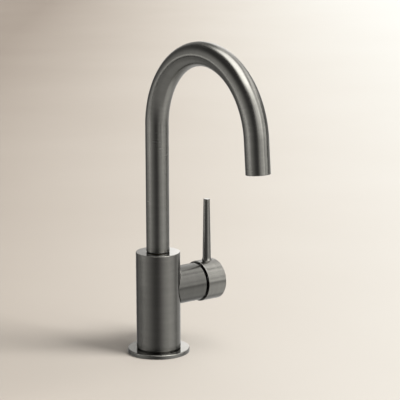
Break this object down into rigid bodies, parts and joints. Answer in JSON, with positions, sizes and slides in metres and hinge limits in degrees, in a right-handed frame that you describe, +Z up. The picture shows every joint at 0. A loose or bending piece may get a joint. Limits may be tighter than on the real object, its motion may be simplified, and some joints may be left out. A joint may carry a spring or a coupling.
{
  "type": "gooseneck bar faucet",
  "caption": "Slim gooseneck bar faucet: round body on a thin flange, swivelling arched spout and side lever valve, with its under-deck shank and nut.",
  "frame": {"origin": "centre of the base on the deck plane, on the axis of the deck hole", "axes": "+Z up out of the deck, -Y along the spout's reach toward the user, +X along the valve boss toward the handle"},
  "size_m": [0.0967, 0.1891, 0.3569],
  "materials": {
    "graphite_steel": "finely brushed dark graphite",
    "raw_brass": "machined, unplated",
    "zinc_steel": "zinc plated",
    "black_rubber": "matt",
    "black_plastic": "satin moulded",
    "pale_acetal": "satin moulded",
    "ceramic": "lapped alumina"
  },
  "bodies": {
    "body": {"deck_gasket": "black_rubber", "base_flange": "graphite_steel", "body_shell": "graphite_steel", "waterway_core": "raw_brass", "threaded_shank": "raw_brass", "rubber_washer": "black_rubber", "clamp_washer": "zinc_steel", "mounting_nut": "raw_brass", "jack_screw_1": "zinc_steel", "jack_screw_2": "zinc_steel", "spout_bush_upper": "black_plastic", "spout_bush_lower": "black_plastic", "spout_stop_screw": "zinc_steel", "valve_boss": "graphite_steel", "cartridge_seal": "black_rubber", "cartridge_base": "pale_acetal", "cartridge_housing": "pale_acetal", "fixed_ceramic_disc": "ceramic", "bonnet_nut": "raw_brass", "bonnet_dome": "black_plastic"},
    "spout": {"spout_tube": "graphite_steel", "spout_hub": "raw_brass", "spout_oring_lower": "black_rubber", "spout_oring_upper": "black_rubber", "aerator_housing": "raw_brass", "aerator_insert": "black_plastic", "aerator_washer": "black_rubber"},
    "turret": {"cartridge_rotor": "black_plastic", "tilt_pin": "zinc_steel"},
    "disc_slide_body": {"disc_carrier": "black_plastic", "moving_ceramic_disc": "ceramic"},
    "handle": {"cartridge_stem": "zinc_steel", "handle_cap": "graphite_steel", "handle_lever": "graphite_steel", "handle_set_screw": "zinc_steel"}
  },
  "joints": [
    {"name": "spout_swivel", "type": "hinge", "parent": "body", "child": "spout", "pos_m": [0, 0, 0.0975], "axis": [0, 0, 1], "continuous": true},
    {"name": "temperature_turn", "type": "hinge", "parent": "body", "child": "turret", "pos_m": [0.033, 0, 0.0614], "axis": [1, 0, 0], "range_deg": [-45, 45]},
    {"name": "flow_tilt", "type": "hinge", "parent": "turret", "child": "handle", "pos_m": [0.033, 0, 0.0614], "axis": [0, 1, 0], "range_deg": [0, 25]},
    {"name": "disc_slide", "type": "slide", "parent": "turret", "child": "disc_slide_body", "axis": [0, 0, 1], "range_m": [0, 0.0034]}
  ],
  "couplings": [
    {"joint": "disc_slide", "follows": "flow_tilt", "m_per_rad": 0.00775}
  ]
}
